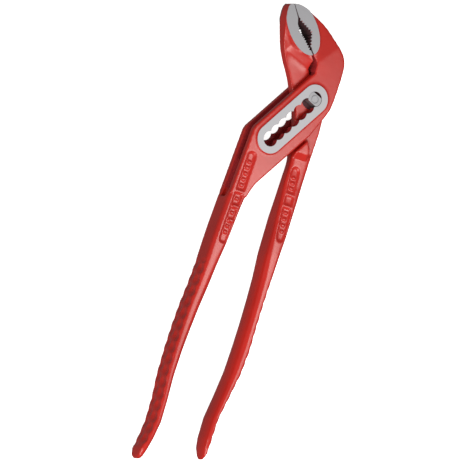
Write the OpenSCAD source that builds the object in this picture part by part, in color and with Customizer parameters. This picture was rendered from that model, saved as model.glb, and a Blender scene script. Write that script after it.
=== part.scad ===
// Box-joint water pump pliers, 250 mm long, lying on the ground land of one side.
// X is across the tool, Y runs from the handles to the jaws, Z is the thickness.
// The origin is under the middle of the bounding box. Shapes are drawn about the bolt axis,
// and then each node is moved by home.

/* [Thickness] */
// Thickness over the two ground lands
land_thick = 14; // [13.4:0.2:15]
// Thickness of the painted forging
body_thick = 12.8; // [12:0.2:13.2]
// Thickness of the tongue that slides between the cheeks
tongue_thick = 5; // [4:0.2:5.4]
// Gap on each face of the tongue
tongue_gap = 0.2; // [0.1:0.05:0.3]
// Thickness of the inner half's shank below the joint
shank_thick = 6.6; // [6:0.2:7.4]

/* [Slot] */
// Angle of the slot from the X axis, in degrees
slot_angle = 54; // [53:0.5:55]
// Number of notches that the bolt can sit in
notch_count = 7; // [5:1:7]
// Distance from one notch to the next
notch_pitch = 5.6; // [5.2:0.1:5.6]
// Radius of one notch
notch_r = 4; // [3.9:0.05:4.2]
// Radius of the ground land's round ends
land_r = 7.6; // [6.8:0.2:8]
// Cheek width above the slot line
cheek_upper = 10.5; // [10:0.1:10.8]
// Cheek width below the slot line
cheek_lower = 13.4; // [13:0.1:13.6]

/* [Bolt] */
// Radius of the flatted bushes
bush_r = 3.9; // [3.6:0.05:3.9]
// Half the distance over the bushes' flats
bush_flat = 2.7; // [2.4:0.1:2.8]
// Radius of the rivet through the bushes and the tongue
rivet_r = 2; // [1.6:0.1:2.2]
// Running clearance round the rivet
rivet_gap = 0.05; // [0.02:0.01:0.08]
// How far the bolt's ends lie below the lands
bolt_sink = 0.2; // [0.1:0.1:0.5]

/* [Jaws] */
// Number of teeth on a jaw, shared between its two flanks
tooth_count = 10; // [6:1:12]
// Depth of one tooth
tooth_depth = 0.9; // [0.5:0.1:1.1]
// Slope of the jaw faces towards the tips, in degrees
jaw_taper = 6.3; // [5:0.1:7]
// Height of the ground land above the painted jaw face
jaw_land_step = 0.5; // [0.3:0.1:0.6]

/* [Movement] */
// How far the handles open from the closed position, in degrees
open_angle = 75; // [60:5:75]

/* [Hidden] */
$fn = 64;

mid_z = land_thick / 2;
body_z = mid_z + body_thick / 2;
tongue_z = mid_z + tongue_thick / 2;
window_thick = tongue_thick + 2 * tongue_gap;
travel = notch_pitch * (notch_count - 1);
far = 80;
home = [17.2, 80.5, 0];

paint = "firebrick";
steel = "lightgray";

// Tongue disc round the bolt, and the room for it between the cheeks
tongue_r = 8.5;
window_r = 8.9;

// The stop pads stand this far from the cheek when the jaws are closed
stop_gap = 1.5;
pad_z = 12.6;
// The neck is only as thick as the tongue up to this distance from the bolt
neck_reach = cheek_upper + 0.4;
neck_slope = 36;

// The ground ellipse across both jaws: centre, half axes and angle
land_centre = [-15.9, 33.6];
land_half = [14.8, 8.2];
land_turn = -52;

// The painted jaw faces start to slope at this line
crease_point = [-3.6, 18.3];
crease_turn = 137.6;

// The slotted half without its handle, from the tip round to the handle's root
slotted_tip = [[-23.5, 44.6], [-21, 45], [-18.7, 44.8], [-16.2, 44.2], [-12, 42.6], [-8.2, 40.9],
               [-4.1, 38.8], [-0.8, 36.6], [2, 34.2], [4.8, 31.9], [7.8, 29.4]];
slotted_back = [[10.3, 26.9], [11.9, 24], [12.7, 21], [12.8, 17.8], [12.6, 14], [12.2, 8],
                [11.6, 2], [10.8, -2.6], [9.2, -6.4]];
slotted_root = [[-23.4, -57], [-24.3, -60], [-34.2, -60], [-30.2, -24.8], [-29.6, -23.2]];
// The inner wall of its jaw, up from the cheek to the toothed flanks
outer_heel = [[-3.4, 13.6], [-3.8, 14.7], [-3.5, 17], [-4, 19.3], [-6.5, 21.7], [-8.4, 24.1]];
outer_low = [-8.9, 25.2];
outer_mid = [-10.3, 33.4];
outer_high = [-18.6, 38];
jaw_split_low = [-19.5, 38.4];

// The inner half's jaw: its back from the tip to the neck, and its heel
inner_back = [[-23.8, 44.5], [-25.4, 44], [-26.3, 42.4], [-26.6, 39.8], [-26.4, 36.5], [-25.1, 29.5],
              [-23.9, 24.5], [-22, 19.4], [-19.2, 14.4], [-16.2, 9.9], [-13.6, 5.6]];
inner_neck = [[-12.1, 2.2], [-9.8, -1.8], [-7.7, -5.8], [-5.9, -11.7], [-4.4, -19], [-2.9, -27]];
inner_shank = [[-2.4, -34], [8.2, -34], [9, -28], [10, -16], [10, -8.4]];
inner_heel = [[-1.2, 8.4], [-5.7, 14.6], [-6, 16.8], [-5.8, 19], [-7.1, 21.2], [-8.9, 23.6]];
inner_mid = [-13.8, 28.8];
inner_pocket = [-18, 32.2];
inner_high = [-19.4, 34.9];
inner_split_low = [-20, 38];

// Handle sections from the root to the end: place along Y, inner X, outer X, half thickness
// and roundness of the inner flank, where 6 is nearly square and 2 is an ellipse
left_handle = [[-54, -23, -33.4, 6.3, 6], [-57, -23.7, -33.8, 6.35, 6], [-62, -24.8, -35, 6.4, 6],
               [-68, -25.8, -35.6, 6.4, 6], [-76, -26.9, -36.5, 6.4, 6], [-86, -28.2, -37.4, 6.4, 5],
               [-98, -30, -38.2, 6.4, 3], [-110, -31.5, -39.6, 6.4, 2.3], [-122, -33.6, -41.4, 6.4, 2.2],
               [-134, -35.4, -42.6, 6.4, 2.2], [-146, -37, -43.4, 6.4, 2.2],
               [-160, -38.2, -43.8, 6.4, 2.2], [-173, -38.4, -43.2, 6.4, 2.2],
               [-185, -38.9, -43.7, 6.4, 2.2], [-194, -40.8, -45.4, 6.2, 2.2],
               [-200.6, -42.6, -47.2, 5.6, 2.2], [-204.4, -43.9, -47.2, 4.4, 2.2],
               [-206, -44.9, -46.4, 2.6, 2.2]];
right_handle = [[-29, -2.6, 8.8, 3.3, 6], [-36, -2.4, 8.4, 3.3, 6], [-46, -3.1, 7.6, 3.6, 6],
                [-54, -3.3, 6.9, 4.4, 6], [-64, -3.7, 5.8, 5.4, 6], [-73, -3.9, 5, 6, 5],
                [-84, -4.3, 3.7, 6.4, 4], [-97, -4.3, 2.6, 6.4, 2.6], [-110, -4.6, 1.6, 6.4, 2.3],
                [-122, -5.1, 0.9, 6.4, 2.2], [-135, -6, 0.5, 6.4, 2.2], [-148, -7.1, -1.1, 6.4, 2.2],
                [-161, -9.1, -4.3, 6.4, 2.2], [-174, -11.5, -7.5, 6.4, 2.2], [-185, -12, -8.2, 6.2, 2.2],
                [-190.4, -11.6, -8.2, 5.6, 2.2], [-194.4, -10.4, -8.3, 4.2, 2.2],
                [-196.2, -9.8, -8.7, 2.2, 2.2]];
ring_sides = 24;

// Unit vector at an angle
function along(angle) = [cos(angle), sin(angle)];

// Centre of a notch, counted down the slot from the jaws
function notch_at(i) = -i * notch_pitch * along(slot_angle);

// A point given along and across the slot
function from_slot(u, v) = u * along(slot_angle) + v * along(slot_angle + 90);

// Saw teeth from a to b: each has its foot on the line and its root off it by depth
function teeth(a, b, count, depth) =
    let (step = (b - a) / count, side = depth * [-step[1], step[0]] / norm(step))
    [for (i = [0 : count - 1]) each [a + i * step, a + (i + 0.5) * step + side]];

// Signed power, which squares off a circle into a rounded box
function bulge(value, power) = sign(value) * pow(abs(value), 2 / power);

// One ring of a handle, with the square side outward and the round flank inward
function ring(s) =
    let (centre = (s[1] + s[2]) / 2, half = (s[2] - s[1]) / 2)
    [for (i = [0 : ring_sides - 1])
        let (t = sign(half) * 360 * i / ring_sides, power = cos(t) > 0 ? 6 : s[4])
        [centre + half * bulge(cos(t), power), s[0], mid_z + s[3] * bulge(sin(t), power)]];

// A handle swept through its sections
module handle(sections) {
    last = len(sections) - 1;
    points = [for (s = sections) each ring(s)];
    low = [for (i = [0 : ring_sides - 1]) i];
    high = [for (i = [0 : ring_sides - 1]) last * ring_sides + ring_sides - 1 - i];
    sides = [for (r = [0 : last - 1]) for (i = [0 : ring_sides - 1])
        let (a = r * ring_sides + i, b = r * ring_sides + (i + 1) % ring_sides)
        each [[b, a, a + ring_sides], [b, a + ring_sides, b + ring_sides]]];
    polyhedron(points, concat([low], [high], sides));
}

// Everything above a plane that passes through a point and rises towards an angle
module above_plane(point, turn, slope) {
    translate(point) rotate([0, 0, turn]) rotate([0, -slope, 0])
        translate([-far, -far, 0]) cube([2 * far, 2 * far, far]);
}

// The children, and their mirror image in the middle plane
module both_faces() {
    children();
    translate([0, 0, 2 * mid_z]) mirror([0, 0, 1]) children();
}

// A flat shape made solid, centred on the middle plane
module slab(thick) {
    translate([0, 0, mid_z - thick / 2]) linear_extrude(thick) children();
}

// A bar with round ends, from a to b
module stadium(a, b, width) {
    run = b - a;
    translate(a) rotate([0, 0, atan2(run[1], run[0])]) {
        circle(width / 2);
        translate([norm(run), 0]) circle(width / 2);
        translate([0, -width / 2]) square([norm(run), width]);
    }
}

module slot_outline() {
    for (i = [0 : notch_count - 1]) translate(notch_at(i)) circle(notch_r);
}

module slot_land_outline() {
    stadium([0, 0], -travel * along(slot_angle), 2 * land_r);
}

module jaw_land_outline() {
    translate(land_centre) rotate([0, 0, land_turn]) scale([land_half[0] / land_half[1], 1])
        circle(land_half[1]);
}

module slotted_outline() {
    polygon(concat(
        slotted_tip, slotted_back,
        [from_slot(-13, -cheek_lower), from_slot(-54.5, -cheek_lower)],
        slotted_root,
        [from_slot(-35.5, cheek_upper), from_slot(9, cheek_upper)],
        outer_heel,
        teeth(outer_low, outer_mid, round(tooth_count / 2), tooth_depth),
        teeth(outer_mid, outer_high, round(tooth_count * 0.6), tooth_depth),
        [outer_high, jaw_split_low]));
}

module inner_jaw_outline() {
    polygon(concat(
        inner_back, [[-12.1, 2.2], [-1.2, 8.4]],
        [for (i = [1 : len(inner_heel) - 1]) inner_heel[i]],
        teeth(inner_heel[5], inner_mid, round(tooth_count / 2), tooth_depth),
        teeth(inner_mid, inner_pocket, round(tooth_count / 2), tooth_depth),
        [inner_pocket, inner_high, inner_split_low]));
}

module tongue_outline() {
    back = [for (i = [6 : len(inner_back) - 1]) inner_back[i]];
    heel = [for (i = [0 : 3]) inner_heel[i]];
    polygon(concat(back, inner_neck, inner_shank, heel));
    circle(tongue_r);
}

// Room between the cheeks for the tongue and the neck, at every notch and opening
module window_outline() {
    circle(window_r);
    polygon([[-3.8, 14.7], [-0.3, window_r], [0, 0], [6, 6.6], [8.4, 7.2], [10.6, 8.4], [far, 8.4],
             [far, -57], [-23.4, -57], [-26.4, -40.3], [-far, -44.6], [-far, 14.7]]);
}

// Cuts that slope both jaw faces from the crease to the tips
module jaw_slopes(lift) {
    both_faces()
        above_plane([crease_point[0], crease_point[1], body_z + lift], crease_turn, -jaw_taper);
}

module jaw_land(thick) {
    difference() {
        slab(thick) intersection() {
            jaw_land_outline();
            children();
        }
        jaw_slopes(jaw_land_step);
    }
}

// Panel pressed into a handle's face: a recess with raised bars across it
module handle_panel(a, b, face_z, slope, bars) {
    both_faces() translate([a[0], a[1], face_z]) rotate([slope, 0, 0])
        translate([0, 0, -0.8]) linear_extrude(3) difference() {
            stadium([0, 0], b - a, 4.8);
            for (y = bars) translate([-4, y - 0.7]) square([8, 1.4]);
        }
}

module slotted_half() {
    color(paint) translate(home) {
        difference() {
            union() {
                difference() {
                    slab(body_thick) slotted_outline();
                    jaw_slopes(0);
                }
                handle(left_handle);
                slab(land_thick) slot_land_outline();
                jaw_land(land_thick) slotted_outline();
            }
            slab(far) slot_outline();
            slab(window_thick) window_outline();
            slab(window_thick) polygon([[-29.6, -40], [-31.8, -62], [-far, -62], [-far, -40]]);
            handle_panel([-27.4, -38.8], [-31.6, -84], body_z, 0, [-19.5, -27.5, -35.2]);
        }
    }
}

module stop_pad_outline() {
    pad_line = -cheek_lower - stop_gap;
    polygon([from_slot(-15.6, pad_line), [5.4, -26], [5.2, -29], [5.4, -34], [-2.4, -34],
             from_slot(-24.4, pad_line)]);
}

module inner_half() {
    color(paint) translate(home) {
        difference() {
            union() {
                difference() {
                    slab(body_thick) inner_jaw_outline();
                    jaw_slopes(0);
                    both_faces() above_plane([-24.8, 29.3, 10], 22.4, 42);
                    both_faces()
                        above_plane(concat(neck_reach * along(144 - open_angle), tongue_z),
                                    144 - open_angle, neck_slope);
                }
                slab(tongue_thick) tongue_outline();
                handle(right_handle);
                difference() {
                    slab(2 * (pad_z - mid_z)) stop_pad_outline();
                    both_faces() above_plane([0, -31.7, mid_z + shank_thick / 2], 90, 40);
                }
                jaw_land(land_thick) inner_jaw_outline();
            }
            translate([0, 0, -1]) cylinder(r = rivet_r + rivet_gap, h = land_thick + 2);
            handle_panel([1.4, -39], [1, -74], 10.4, -4.3, [-12, -18.5]);
        }
    }
}

// The round core of the joint bolt
module joint_rivet() {
    color(steel) translate(home + [0, 0, bolt_sink])
        cylinder(r = rivet_r, h = land_thick - 2 * bolt_sink);
}

// A bush with two flats, keyed to the inner half, that fills one notch
module bolt_bush() {
    flat_turn = slot_angle + 90 - open_angle;
    translate([0, 0, tongue_z]) difference() {
        intersection() {
            cylinder(r = bush_r, h = land_thick - bolt_sink - tongue_z);
            rotate([0, 0, flat_turn]) translate([-bush_flat, -bush_r, 0])
                cube([2 * bush_flat, 2 * bush_r, land_thick]);
        }
        translate([0, 0, -1]) cylinder(r = rivet_r + rivet_gap, h = land_thick);
    }
}

module front_bolt_bush() {
    color(steel) translate(home) bolt_bush();
}

module rear_bolt_bush() {
    color(steel) translate(home + [0, 0, 2 * mid_z]) mirror([0, 0, 1]) bolt_bush();
}

slotted_half();
inner_half();
joint_rivet();
front_bolt_bush();
rear_bolt_bush();
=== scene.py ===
import math

import bmesh
import bpy
import numpy as np
from bpy.props import FloatProperty, FloatVectorProperty, IntProperty, PointerProperty
from mathutils import Matrix, Vector


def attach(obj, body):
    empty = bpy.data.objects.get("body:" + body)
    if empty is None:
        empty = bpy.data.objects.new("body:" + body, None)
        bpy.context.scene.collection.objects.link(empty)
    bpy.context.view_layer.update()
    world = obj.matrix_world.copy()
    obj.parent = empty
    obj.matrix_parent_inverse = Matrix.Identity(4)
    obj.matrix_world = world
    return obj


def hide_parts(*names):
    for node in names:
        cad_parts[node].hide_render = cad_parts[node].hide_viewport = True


bl_info = {
    "name": "Box-joint water pump pliers",
    "version": (1, 0, 0),
    "blender": (4, 5, 0),
    "location": "View3D > Sidebar > Pliers",
    "description": "Finishes the pliers: painted forgings, ground lands, joint bolt and studio",
    "category": "Add Mesh",
}

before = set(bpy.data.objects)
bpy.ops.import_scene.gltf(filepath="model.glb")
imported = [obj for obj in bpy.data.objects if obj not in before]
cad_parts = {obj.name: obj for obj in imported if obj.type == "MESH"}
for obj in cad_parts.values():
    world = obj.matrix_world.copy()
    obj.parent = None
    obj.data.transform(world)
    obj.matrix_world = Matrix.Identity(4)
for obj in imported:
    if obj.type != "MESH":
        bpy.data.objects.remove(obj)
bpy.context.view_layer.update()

MM = 0.001

# Places on the tool, in millimetres, counted from the bolt axis and the lower land's face
BOLT = (17.2, 80.5)
SLOT_ANGLE = 54.0
SLOT_TRAVEL = 33.6
NOTCH_RADIUS = 4.0
MIDDLE = 7.0
LAND_TOP = 14.0

# The ground jaw faces lie in a plane that falls from the crease to the tips
CREASE = (-3.6, 18.3)
CREASE_TURN = 137.6
JAW_LAND_AT_CREASE = 13.9
JAW_FALL = math.tan(math.radians(6.3))

# Where the soft edges stop, so that teeth and notch walls stay crisp
MOUTH_CENTRE = (-14.2, 30.6)
MOUTH_RADIUS = 9.6
CRISP_SLOT_REACH = 8.2

# The order of the coats in a forging's material list: the paint, then two coats of painted shade, dark red
# and darker
PAINT, PAINTED_SHADE_RED, PAINTED_SHADE_DARK = 0, 1, 2

# The window between the cheeks: half its height, and where it starts and ends along Y
WINDOW_HALF = 2.9
WINDOW_TOP = 8.2
WINDOW_FOOT = -57

# Slopes above which a face counts as a wall, by the upward part of its normal
WALL_UP = 0.6
JAW_WALL_UP = 0.85

# The split between the jaws, from the throat to the tips, and how far its walls stand off it
JAW_SPLIT = ((-8.5, 24.0), (-23.5, 45.0))
SPLIT_NEAR = 1.0
SPLIT_FAR = 5.0
SPLIT_START = -2.0
SPLIT_END = 27.0

# The wall behind the inner jaw's heel, which gets the dark red coat of painted shade
HEEL = (-4.5, 17.5)
HEEL_RADIUS = 6.0

# The tongue's face gets the darker painted shade this near to the bolt
SHADED_SEAT = 5.4

# The inner jaw's front faces flow into its neck, from this place along Y upward
FAIR_FROM = 3.0

# The painted skin ends this far below the bare plates that cover it
PLATE_GAP = 0.07

# Studs on a panel's floor: distance apart, height
STUD_PITCH = 3.4
STUD_HEIGHT = 0.4

# The camera looks from this direction at a place on the tool
TOWARD_CAMERA = (-0.476, -0.140, 0.868)
VIEW_AIM = (-22.1, -79.5)
SHEEN_AIM = (-30.0, -88.0)

# Pressed panels on the handles: start, end and the stretches between the bars, along the panel
SLOTTED_PANEL = ((-27.4, -38.8), (-31.6, -84.0))
SLOTTED_PANEL_RUNS = ((1.6, 17.6), (21.4, 25.6), (29.4, 33.2), (37.0, 43.6))
INNER_PANEL = ((1.4, -39.0), (1.0, -74.0))
INNER_PANEL_RUNS = ((1.6, 10.2), (20.2, 33.6))


def hex_linear(code):
    """An sRGB hex colour as the four linear numbers that a shader takes."""
    channels = [int(code[i : i + 2], 16) / 255 for i in (1, 3, 5)]
    return [c / 12.92 if c <= 0.04045 else ((c + 0.055) / 1.055) ** 2.4 for c in channels] + [1.0]


def add_node(tree, kind, sockets=None, **settings):
    """Adds a shader node: settings are its properties, sockets its values or the outputs that feed it."""
    made = tree.nodes.new(kind)
    for name, value in settings.items():
        setattr(made, name, value)
    for name, value in (sockets or {}).items():
        if isinstance(value, bpy.types.NodeSocket):
            tree.links.new(value, made.inputs[name])
        else:
            made.inputs[name].default_value = value
    return made


def new_material(name):
    """An empty node material, with its tree, its surface shader and its object coordinates."""
    made = bpy.data.materials.new(name)
    made.use_nodes = True
    tree = made.node_tree
    tree.nodes.clear()
    shader = add_node(tree, "ShaderNodeBsdfPrincipled")
    out = add_node(tree, "ShaderNodeOutputMaterial", {"Surface": shader.outputs["BSDF"]})
    out.is_active_output = True
    place = add_node(tree, "ShaderNodeTexCoord").outputs["Object"]
    return made, tree, shader, place


def red_paint(props):
    """Alkyd paint over a shot-blasted drop forging: a semi-gloss film with a faint orange peel."""
    made, tree, shader, place = new_material("red_alkyd_paint")
    # the blasted steel under the film leaves hollows about 2.5 mm across, and the film's own
    # orange peel is near 0.8 mm: together they break up the reflections
    hollows = add_node(tree, "ShaderNodeTexNoise", {"Vector": place, "Scale": 1 / (2.5 * MM), "Detail": 2.0})
    peel = add_node(tree, "ShaderNodeTexNoise", {"Vector": place, "Scale": 1 / (0.8 * MM), "Detail": 1.0})
    coarse = add_node(tree, "ShaderNodeBump",
                      {"Height": hollows.outputs["Fac"], "Distance": 0.05 * MM, "Strength": 0.5})
    fine = add_node(tree, "ShaderNodeBump",
                    {"Height": peel.outputs["Fac"], "Distance": 0.012 * MM, "Strength": 0.5,
                     "Normal": coarse.outputs["Normal"]})
    # the film is a little thinner and browner in broad patches
    patches = add_node(tree, "ShaderNodeTexNoise", {"Vector": place, "Scale": 1 / (18 * MM), "Detail": 3.0})
    tint = add_node(tree, "ShaderNodeValToRGB", {"Fac": patches.outputs["Fac"]})
    tint.color_ramp.elements[0].position = 0.35
    tint.color_ramp.elements[0].color = list(props.paint_low) + [1.0]
    tint.color_ramp.elements[1].position = 0.65
    tint.color_ramp.elements[1].color = list(props.paint) + [1.0]
    tree.links.new(tint.outputs["Color"], shader.inputs["Base Color"])
    tree.links.new(fine.outputs["Normal"], shader.inputs["Normal"])
    shader.inputs["Roughness"].default_value = props.paint_roughness
    shader.inputs["IOR"].default_value = 1.52
    return made


def dull_skin(name, colour):
    """A dark coat of painted shade for walls that lie in shade, with a fine forged grain."""
    made, tree, shader, place = new_material(name)
    # grains near 1.2 mm across keep these dark walls of painted shade from looking like plastic
    grain = add_node(tree, "ShaderNodeTexNoise", {"Vector": place, "Scale": 1 / (1.2 * MM), "Detail": 3.0})
    bump = add_node(tree, "ShaderNodeBump",
                    {"Height": grain.outputs["Fac"], "Distance": 0.03 * MM, "Strength": 0.5})
    tree.links.new(bump.outputs["Normal"], shader.inputs["Normal"])
    shader.inputs["Base Color"].default_value = list(colour) + [1.0]
    shader.inputs["Roughness"].default_value = 0.8
    return made


def ground_steel(name, colour, roughness, grind_turn):
    """Bare forged steel, surface-ground on the high lands: even grey with fine straight grinding lines."""
    made, tree, shader, place = new_material(name)
    # grinding lines are 0.05 mm apart; they are drawn 0.4 mm apart, so that they show
    lines = add_node(tree, "ShaderNodeMapping",
                     {"Vector": place, "Rotation": (0, 0, math.radians(grind_turn)),
                      "Scale": (1 / (6 * MM), 1 / (0.4 * MM), 1 / (0.4 * MM))})
    scratch = add_node(tree, "ShaderNodeTexNoise",
                       {"Vector": lines.outputs["Vector"], "Scale": 1.0, "Detail": 2.0})
    bump = add_node(tree, "ShaderNodeBump",
                    {"Height": scratch.outputs["Fac"], "Distance": 0.01 * MM, "Strength": 0.35})
    tree.links.new(bump.outputs["Normal"], shader.inputs["Normal"])
    shader.inputs["Base Color"].default_value = list(colour) + [1.0]
    shader.inputs["Metallic"].default_value = 1.0
    shader.inputs["Roughness"].default_value = roughness
    return made


def cad_copy(node):
    """A CAD node's mesh as a bmesh, with its loose triangles joined."""
    bm = bmesh.new()
    bm.from_mesh(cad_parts[node].data)
    bmesh.ops.remove_doubles(bm, verts=bm.verts, dist=1e-6)
    return bm


def keep_piece(name, bm, materials):
    """Makes a bmesh into an object of the scene."""
    mesh = bpy.data.meshes.new(name)
    bm.to_mesh(mesh)
    bm.free()
    for material in materials:
        mesh.materials.append(material)
    made = bpy.data.objects.new(name, mesh)
    bpy.context.scene.collection.objects.link(made)
    return made


def remeshed(bm, voxel):
    """A bmesh's skin rebuilt as an even grid of small quads."""
    source = keep_piece("skin_source", bm, [])
    remesh = source.modifiers.new("skin", "REMESH")
    remesh.mode = "VOXEL"
    remesh.voxel_size = voxel
    remesh.adaptivity = 0.0
    depsgraph = bpy.context.evaluated_depsgraph_get()
    mesh = bpy.data.meshes.new_from_object(source.evaluated_get(depsgraph))
    skin = bmesh.new()
    skin.from_mesh(mesh)
    bpy.data.meshes.remove(mesh)
    old = source.data
    bpy.data.objects.remove(source)
    bpy.data.meshes.remove(old)
    return skin


def places(bm):
    """Vertex places in millimetres from the bolt axis, as an array of rows."""
    rows = np.array([v.co for v in bm.verts]) / MM
    return rows - np.array([BOLT[0], BOLT[1], 0.0])


def put_back(bm, rows):
    """Writes the rows of places() back to the vertices."""
    for vert, row in zip(bm.verts, (rows + np.array([BOLT[0], BOLT[1], 0.0])) * MM):
        vert.co = row


def along_line(rows, start, end):
    """How far each place lies along a line from its start, and to the side of it."""
    run = np.array(end) - np.array(start)
    run = run / np.linalg.norm(run)
    off = rows[:, :2] - np.array(start)
    return off @ run, off @ np.array([-run[1], run[0]])


def slot_reach(rows):
    """Distance of each place from the slot's middle line."""
    turn = math.radians(SLOT_ANGLE)
    end = (-SLOT_TRAVEL * math.cos(turn), -SLOT_TRAVEL * math.sin(turn))
    length, side = along_line(rows, (0.0, 0.0), end)
    past = np.maximum(np.maximum(-length, length - SLOT_TRAVEL), 0.0)
    return np.hypot(past, side)


def jaw_land_height(rows):
    """Height of the ground jaw plane over each place, above the lower land."""
    turn = math.radians(CREASE_TURN)
    past = (rows[:, 0] - CREASE[0]) * math.cos(turn) + (rows[:, 1] - CREASE[1]) * math.sin(turn)
    return JAW_LAND_AT_CREASE - JAW_FALL * past


def smooth_step(low, high, value):
    """0 below low, 1 above high, and a soft ramp between them."""
    t = np.clip((value - low) / (high - low), 0.0, 1.0)
    return t * t * (3 - 2 * t)


def round_edges(bm, fair, props):
    """Rounds the forged edges, keeps the teeth and the notches crisp, and can fair the jaw's faces."""
    rows = places(bm)
    crisp = slot_reach(rows) < CRISP_SLOT_REACH
    crisp |= np.hypot(rows[:, 0] - MOUTH_CENTRE[0], rows[:, 1] - MOUTH_CENTRE[1]) < MOUTH_RADIUS
    soft = [v for v, keep in zip(bm.verts, crisp) if not keep]
    for _ in range(props.rounding):
        bmesh.ops.smooth_vert(bm, verts=soft, factor=0.5, use_axis_x=True, use_axis_y=True, use_axis_z=True)
    bm.normal_update()
    faired = [v for v, y, keep in zip(bm.verts, rows[:, 1], crisp)
              if fair and not keep and y > FAIR_FROM and abs(v.normal.z) > WALL_UP]
    for _ in range(props.fairing):
        bmesh.ops.smooth_vert(
            bm, verts=faired, factor=0.5, use_axis_x=False, use_axis_y=False, use_axis_z=True)
    for _ in range(props.easing):
        bmesh.ops.smooth_vert(
            bm, verts=bm.verts, factor=0.5, use_axis_x=True, use_axis_y=True, use_axis_z=True)


def press_panel(rows, normals, panel, runs):
    """Raises a row of plain short studs on the floor of a handle's pressed panel."""
    length, side = along_line(rows, *panel)
    lift = np.zeros(len(rows))
    for low, high in runs:
        count = max(1, round((high - low) / STUD_PITCH))
        pitch = (high - low) / count
        within = (length > low) & (length < high)
        off = (((length - low) / pitch) % 1.0 - 0.5) * pitch
        stud = (1 - smooth_step(0.5, 1.0, np.abs(off))) * (1 - smooth_step(0.9, 1.4, np.abs(side)))
        lift = np.maximum(lift, stud * within)
    flat = smooth_step(0.8, 0.95, np.abs(normals[:, 2]))
    proud = np.abs(rows[:, 2] - MIDDLE) > 2.4
    rows[:, 2] += STUD_HEIGHT * lift * flat * proud * np.sign(rows[:, 2] - MIDDLE)


def press_grip(rows, normals, side, props):
    """Presses two staggered rows of hollows into a handle's outer flank."""
    pitch = props.grip_pitch / MM
    depth = props.grip_depth / MM
    start, end = props.grip_start / MM, props.grip_end / MM
    facing = smooth_step(0.2, 0.6, normals[:, 0] * side)
    reach = smooth_step(end, end + 3, rows[:, 1]) * (1 - smooth_step(start - 3, start, rows[:, 1]))
    hollow = np.zeros(len(rows))
    for row, height in enumerate((3.3, -3.3)):
        step = (rows[:, 1] / pitch + 0.5 * row) % 1.0 - 0.5
        across = (rows[:, 2] - MIDDLE - height) / 3.7
        lean = step * 1.9 + across * 0.3
        hollow = np.maximum(hollow, 1 - smooth_step(0.15, 1.0, np.hypot(lean, across)))
    rows[:, 0] -= side * depth * hollow * facing * reach


def paint_faces(bm, node):
    """Picks each face's coat: paint, or painted shade: dark red in the slot, the window and behind the heel,
    darker round the bolt and between the jaws.
    """
    middles = np.array([f.calc_center_median() for f in bm.faces]) / MM - np.array([BOLT[0], BOLT[1], 0.0])
    normals = np.array([f.normal for f in bm.faces])
    upright = np.abs(normals[:, 2]) < WALL_UP
    off_middle = np.abs(middles[:, 2] - MIDDLE)
    off_bolt = np.hypot(middles[:, 0], middles[:, 1])
    coat = np.full(len(middles), PAINT)
    if node == "slotted_half":
        # painted shade: the slot's walls and the wall behind the heel are darkened to a dark red
        coat[(slot_reach(middles) < NOTCH_RADIUS + 0.5) & upright] = PAINTED_SHADE_RED
        coat[(np.hypot(middles[:, 0] - HEEL[0], middles[:, 1] - HEEL[1]) < HEEL_RADIUS) & upright] = PAINTED_SHADE_RED
        # painted shadow: the slot's walls next to the bolt are darkened most
        coat[(off_bolt < NOTCH_RADIUS + 0.5) & upright] = PAINTED_SHADE_DARK
        # painted shade: the window between the cheeks is darkened to a dark red
        between = (middles[:, 1] < WINDOW_TOP) & (middles[:, 1] > WINDOW_FOOT)
        coat[(off_middle < WINDOW_HALF) & between] = PAINTED_SHADE_RED
    else:
        # painted shade: the tongue's face round the bolt is darkened most
        coat[(off_middle < WINDOW_HALF) & (off_bolt < SHADED_SEAT)] = PAINTED_SHADE_DARK
    # walls that look across the split between the jaws get the darker painted shade
    length, side = along_line(middles, *JAW_SPLIT)
    ahead = along_line(middles + 0.5 * normals, *JAW_SPLIT)[1]
    across = np.abs(side) < SPLIT_NEAR
    across |= (np.abs(side) < SPLIT_FAR) & (np.abs(ahead) < np.abs(side))
    within = (length > SPLIT_START) & (length < SPLIT_END)
    coat[across & within & (np.abs(normals[:, 2]) < JAW_WALL_UP)] = PAINTED_SHADE_DARK
    for face, chosen in zip(bm.faces, coat):
        face.material_index = int(chosen)
        face.smooth = True


def forging(name, node, body, panel, runs, grip_side, props):
    """A painted forging in place of its CAD node, with soft edges, a ribbed panel and a pressed grip."""
    bm = remeshed(cad_copy(node), props.voxel)
    rows = places(bm)
    # the ground faces are separate plates, so the forging stops a little below them
    top = np.where(rows[:, 1] > 18, jaw_land_height(rows), LAND_TOP) - PLATE_GAP
    rows[:, 2] = np.clip(rows[:, 2], 2 * MIDDLE - top, top)
    put_back(bm, rows)
    round_edges(bm, node == "inner_half", props)
    bm.normal_update()
    rows = places(bm)
    normals = np.array([v.normal for v in bm.verts])
    press_panel(rows, normals, panel, runs)
    press_grip(rows, normals, grip_side, props)
    put_back(bm, rows)
    bm.normal_update()
    paint_faces(bm, node)
    coats = ("red_alkyd_paint", "painted_shade_red", "painted_shade_dark")
    made = keep_piece(name, bm, [bpy.data.materials[coat] for coat in coats])
    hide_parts(node)
    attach(made, body)
    return made


def cut_cap(node, point, normal):
    """The part of a CAD node above a plane, closed underneath."""
    bm = cad_copy(node)
    cut = bmesh.ops.bisect_plane(bm, geom=bm.verts[:] + bm.edges[:] + bm.faces[:], dist=1e-7,
                                 plane_co=point, plane_no=normal, clear_inner=True)
    rim = [e for e in cut["geom_cut"] if isinstance(e, bmesh.types.BMEdge)]
    bmesh.ops.triangle_fill(bm, edges=rim, use_beauty=True, normal=-Vector(normal))
    bmesh.ops.recalc_face_normals(bm, faces=bm.faces)
    for face in bm.faces:
        face.smooth = False
    return bm


def in_frame(x, y, z):
    """A place given in millimetres from the bolt axis, as a place in the frame."""
    return Vector(((x + BOLT[0]) * MM, (y + BOLT[1]) * MM, z * MM))


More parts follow.
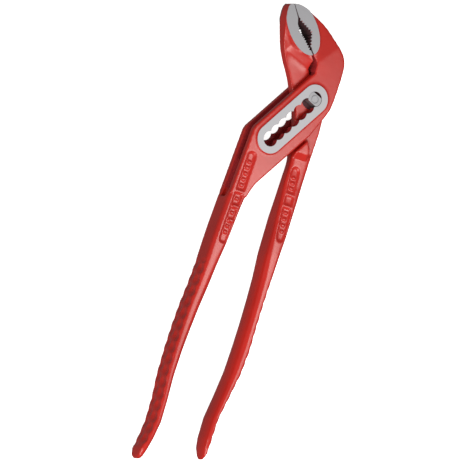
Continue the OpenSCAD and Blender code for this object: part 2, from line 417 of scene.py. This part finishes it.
def ground_plate(name, node, body, point, normal, steel):
    """Bare ground plates on both faces of a forging, cut from its CAD node's own outline."""
    whole = bmesh.new()
    for sign in (1, -1):
        place = Vector((point[0], point[1], MIDDLE + sign * (point[2] - MIDDLE)))
        part = cut_cap(node, in_frame(*place), Vector((normal[0], normal[1], sign * normal[2])))
        flat = bpy.data.meshes.new("plate_part")
        part.to_mesh(flat)
        part.free()
        whole.from_mesh(flat)
        bpy.data.meshes.remove(flat)
    made = keep_piece(name, whole, [steel])
    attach(made, body)
    return made


class ForgingSettings(bpy.types.PropertyGroup):
    """Sizes and colours of the two painted forgings."""

    voxel: FloatProperty(
        name="Skin grid", description="Size of the grid that the forgings' skin is rebuilt on",
        default=0.43 * MM, min=0.3 * MM, unit="LENGTH")
    rounding: IntProperty(
        name="Rounding", description="Passes that round the forged edges", default=5, min=0)
    fairing: IntProperty(
        name="Fairing", description="Passes that blend the inner jaw's face into its neck",
        default=100, min=0)
    easing: IntProperty(
        name="Easing", description="Passes over the whole skin, teeth and notches too", default=2, min=0)
    paint: FloatVectorProperty(
        name="Paint", description="Colour of the paint film", subtype="COLOR",
        default=hex_linear("#C4261D")[:3])
    paint_low: FloatVectorProperty(
        name="Thin paint", description="Colour where the film is thin", subtype="COLOR",
        default=hex_linear("#B8221A")[:3])
    paint_roughness: FloatProperty(
        name="Paint roughness", description="Gloss of the paint film", default=0.3, subtype="FACTOR")
    # painted shade: the darkest coat, round the bolt and between the jaws
    scale: FloatVectorProperty(
        name="Forge scale", description="Colour of the oiled scale between the jaws and round the bolt",
        subtype="COLOR",
        default=hex_linear("#46242A")[:3])
    # painted shade: the dark red that stands for the shade in the slot, the window and behind the heel
    painted_shade_red_colour: FloatVectorProperty(
        name="Primer", description="Colour of the primer inside the slot and the window", subtype="COLOR",
        default=hex_linear("#A0161C")[:3])
    grip_pitch: FloatProperty(
        name="Grip pitch", description="Distance between the grip's hollows", default=6.2 * MM, unit="LENGTH")
    grip_depth: FloatProperty(
        name="Grip depth", description="Depth of the grip's hollows", default=0.8 * MM, unit="LENGTH")
    grip_start: FloatProperty(
        name="Grip start", description="Where the grip starts, along Y from the bolt",
        default=-96 * MM, unit="LENGTH")
    grip_end: FloatProperty(
        name="Grip end", description="Where the grip ends, along Y from the bolt",
        default=-200 * MM, unit="LENGTH")


class SteelSettings(bpy.types.PropertyGroup):
    """Sizes and colours of the bare steel."""

    land: FloatVectorProperty(
        name="Ground lands", description="Colour of the ground lands", subtype="COLOR",
        default=hex_linear("#C2C3C8")[:3])
    bolt: FloatVectorProperty(
        name="Bolt", description="Colour of the joint bolt", subtype="COLOR",
        default=hex_linear("#ACADB2")[:3])
    land_roughness: FloatProperty(
        name="Land roughness", description="Gloss of the ground lands", default=0.6, subtype="FACTOR")
    plate: FloatProperty(
        name="Plate", description="Thickness of the bare ground plates", default=0.14 * MM, unit="LENGTH")
    bolt_edge: FloatProperty(
        name="Bolt edge", description="Broken edge on the bolt's ends", default=0.18 * MM, unit="LENGTH")


class StudioSettings(bpy.types.PropertyGroup):
    """Floor, lights and camera."""

    floor: FloatVectorProperty(
        name="Floor", description="Colour of the floor", subtype="COLOR",
        default=hex_linear("#F4F4F2")[:3])
    field: FloatProperty(
        name="Field", description="Width of the view at the tool", default=242 * MM, unit="LENGTH")
    distance: FloatProperty(
        name="Camera distance", description="From the camera to the tool", default=8.0, unit="LENGTH")
    key: FloatProperty(name="Key light", description="Power of the key light, in watts", default=10.5)
    sheen: FloatProperty(
        name="Sheen light", description="Power of the light that the front faces reflect, in watts",
        default=0.6)
    rim: FloatProperty(
        name="Rim light", description="Power of the light along the handles' flanks, in watts", default=2.8)
    warmth: FloatVectorProperty(
        name="Warmth", description="Colour of the three lights", subtype="COLOR", default=(1.0, 0.96, 0.91))
    sky: FloatProperty(name="Sky", description="Brightness of the sky", default=0.2)
    glow: FloatProperty(name="Floor glow", description="Brightness of the floor's own light", default=0.9)


class PLIERS_OT_materials(bpy.types.Operator):
    """Make the paint, the two coats of painted shade and the ground steels"""

    bl_idname = "pliers.materials"
    bl_label = "Materials"

    def execute(self, context):
        forging_props = context.scene.pliers_forging
        steel_props = context.scene.pliers_steel
        red_paint(forging_props)
        dull_skin("painted_shade_red", forging_props.painted_shade_red_colour)
        dull_skin("painted_shade_dark", forging_props.scale)
        ground_steel("ground_jaw_steel", steel_props.land, steel_props.land_roughness, 50)
        ground_steel("ground_slot_steel", steel_props.land, steel_props.land_roughness, -SLOT_ANGLE)
        ground_steel("turned_bolt_steel", steel_props.bolt, 0.55, 20)
        return {"FINISHED"}


class PLIERS_OT_slotted_half(bpy.types.Operator):
    """Make the slotted half's painted forging"""

    bl_idname = "pliers.slotted_half"
    bl_label = "Slotted half"

    def execute(self, context):
        forging("painted_slotted_half", "slotted_half", "slotted_body",
                SLOTTED_PANEL, SLOTTED_PANEL_RUNS, -1, context.scene.pliers_forging)
        return {"FINISHED"}


class PLIERS_OT_inner_half(bpy.types.Operator):
    """Make the inner half's painted forging"""

    bl_idname = "pliers.inner_half"
    bl_label = "Inner half"

    def execute(self, context):
        forging("painted_inner_half", "inner_half", "inner_body",
                INNER_PANEL, INNER_PANEL_RUNS, 1, context.scene.pliers_forging)
        return {"FINISHED"}


class PLIERS_OT_ground_lands(bpy.types.Operator):
    """Make the bare ground lands round the slot and on both jaws"""

    bl_idname = "pliers.ground_lands"
    bl_label = "Ground lands"

    def execute(self, context):
        plate = context.scene.pliers_steel.plate / MM
        turn = math.radians(CREASE_TURN)
        jaw_normal = Vector((JAW_FALL * math.cos(turn), JAW_FALL * math.sin(turn), 1.0)).normalized()
        jaw_point = (CREASE[0], CREASE[1], JAW_LAND_AT_CREASE - plate)
        ground_plate("slot_land", "slotted_half", "slotted_body", (0.0, 0.0, LAND_TOP - plate),
                     (0.0, 0.0, 1.0), bpy.data.materials["ground_slot_steel"])
        ground_plate("slotted_jaw_land", "slotted_half", "slotted_body", jaw_point, jaw_normal,
                     bpy.data.materials["ground_jaw_steel"])
        ground_plate("inner_jaw_land", "inner_half", "inner_body", jaw_point, jaw_normal,
                     bpy.data.materials["ground_jaw_steel"])
        return {"FINISHED"}


class PLIERS_OT_joint_bolt(bpy.types.Operator):
    """Make the joint bolt's rivet and flatted bushes"""

    bl_idname = "pliers.joint_bolt"
    bl_label = "Joint bolt"

    def execute(self, context):
        steel = bpy.data.materials["turned_bolt_steel"]
        width = context.scene.pliers_steel.bolt_edge
        bodies = {"joint_rivet": "bolt_body", "front_bolt_bush": "inner_body", "rear_bolt_bush": "inner_body"}
        for node, body in bodies.items():
            bm = cad_copy(node)
            bmesh.ops.dissolve_limit(bm, angle_limit=math.radians(1), verts=bm.verts, edges=bm.edges)
            sharp = [e for e in bm.edges if e.is_manifold and e.calc_face_angle() > math.radians(40)]
            bmesh.ops.bevel(bm, geom=sharp, offset=width, offset_type="OFFSET", segments=2, profile=0.5,
                            affect="EDGES", clamp_overlap=True, material=-1)
            for face in bm.faces:
                face.smooth = False
            made = keep_piece("turned_" + node, bm, [steel])
            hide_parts(node)
            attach(made, body)
        return {"FINISHED"}


class PLIERS_OT_studio(bpy.types.Operator):
    """Make the floor, the lights and the camera"""

    bl_idname = "pliers.studio"
    bl_label = "Studio"

    def execute(self, context):
        props = context.scene.pliers_studio
        scene = context.scene
        scene.view_settings.view_transform = "Standard"

        # opal acrylic lit from below: even white, so that the tool casts next to no shadow
        made, _, shader, _ = new_material("lit_white_acrylic")
        shader.inputs["Base Color"].default_value = list(props.floor) + [1.0]
        shader.inputs["Roughness"].default_value = 0.9
        shader.inputs["Emission Color"].default_value = (1.0, 1.0, 1.0, 1.0)
        shader.inputs["Emission Strength"].default_value = props.glow
        bm = bmesh.new()
        bmesh.ops.create_grid(bm, x_segments=1, y_segments=1, size=4.0)
        floor = keep_piece("lit_floor", bm, [made])
        # the table's light would wash out the tool's side walls, so only the camera sees it
        floor.visible_diffuse = False
        floor.visible_glossy = False

        world = bpy.data.worlds.new("studio_room")
        scene.world = world
        world.use_nodes = True
        back = world.node_tree.nodes["Background"]
        back.inputs["Color"].default_value = (1.0, 1.0, 1.0, 1.0)
        back.inputs["Strength"].default_value = props.sky

        toward = Vector(TOWARD_CAMERA).normalized()
        up = Vector((toward.y, -toward.x, 0.0)).normalized()
        right = up.cross(toward)
        aim = in_frame(*VIEW_AIM, MIDDLE)

        def add_light(name, target, direction, distance, size, power):
            data = bpy.data.lights.new(name, "AREA")
            data.shape = "DISK"
            data.size = size
            data.energy = power
            data.color = props.warmth
            lamp = bpy.data.objects.new(name, data)
            away = Vector(direction).normalized()
            facing = away.to_track_quat("Z", "Y").to_matrix().to_4x4()
            lamp.matrix_world = Matrix.Translation(target + away * distance) @ facing
            scene.collection.objects.link(lamp)

        add_light("key_softbox", aim, (-0.22, -0.6, 0.77), 1.2, 0.7, props.key)
        add_light("rim_softbox", aim, (-0.85, -0.35, 0.42), 1.0, 0.35, props.rim)
        mirrored = (-toward.x, -toward.y, toward.z)
        add_light("sheen_softbox", in_frame(*SHEEN_AIM, LAND_TOP), mirrored, 0.45, 0.16, props.sheen)

        lens = bpy.data.cameras.new("camera")
        lens.sensor_fit = "HORIZONTAL"
        lens.angle = 2 * math.atan(props.field / 2 / props.distance)
        lens.clip_end = 20.0
        camera = bpy.data.objects.new("camera", lens)
        turn = Matrix((right, up, toward)).transposed()
        camera.matrix_world = Matrix.Translation(aim + toward * props.distance) @ turn.to_4x4()
        scene.collection.objects.link(camera)
        scene.camera = camera
        return {"FINISHED"}


class PLIERS_PT_panel(bpy.types.Panel):
    """Lists the pliers' settings and makers"""

    bl_idname = "PLIERS_PT_panel"
    bl_label = "Pliers"
    bl_space_type = "VIEW_3D"
    bl_region_type = "UI"
    bl_category = "Pliers"

    def draw(self, context):
        for name in GROUPS:
            box = self.layout.box()
            group = getattr(context.scene, name)
            for key in group.bl_rna.properties.keys():
                if key not in {"rna_type", "name"}:
                    box.prop(group, key)
        for maker in MAKERS:
            self.layout.operator(maker.bl_idname)


MAKERS = (PLIERS_OT_studio, PLIERS_OT_materials, PLIERS_OT_slotted_half, PLIERS_OT_inner_half,
          PLIERS_OT_ground_lands, PLIERS_OT_joint_bolt)
GROUPS = {"pliers_forging": ForgingSettings, "pliers_steel": SteelSettings, "pliers_studio": StudioSettings}


def register():
    for part in (*GROUPS.values(), *MAKERS, PLIERS_PT_panel):
        bpy.utils.register_class(part)
    for name, group in GROUPS.items():
        setattr(bpy.types.Scene, name, PointerProperty(type=group))


def unregister():
    for name in GROUPS:
        delattr(bpy.types.Scene, name)
    for part in reversed((*GROUPS.values(), *MAKERS, PLIERS_PT_panel)):
        bpy.utils.unregister_class(part)


def main():
    register()
    bpy.ops.pliers.studio()
    bpy.ops.pliers.materials()
    bpy.ops.pliers.slotted_half()
    bpy.ops.pliers.inner_half()
    bpy.ops.pliers.ground_lands()
    bpy.ops.pliers.joint_bolt()


if __name__ == "__main__":
    main()
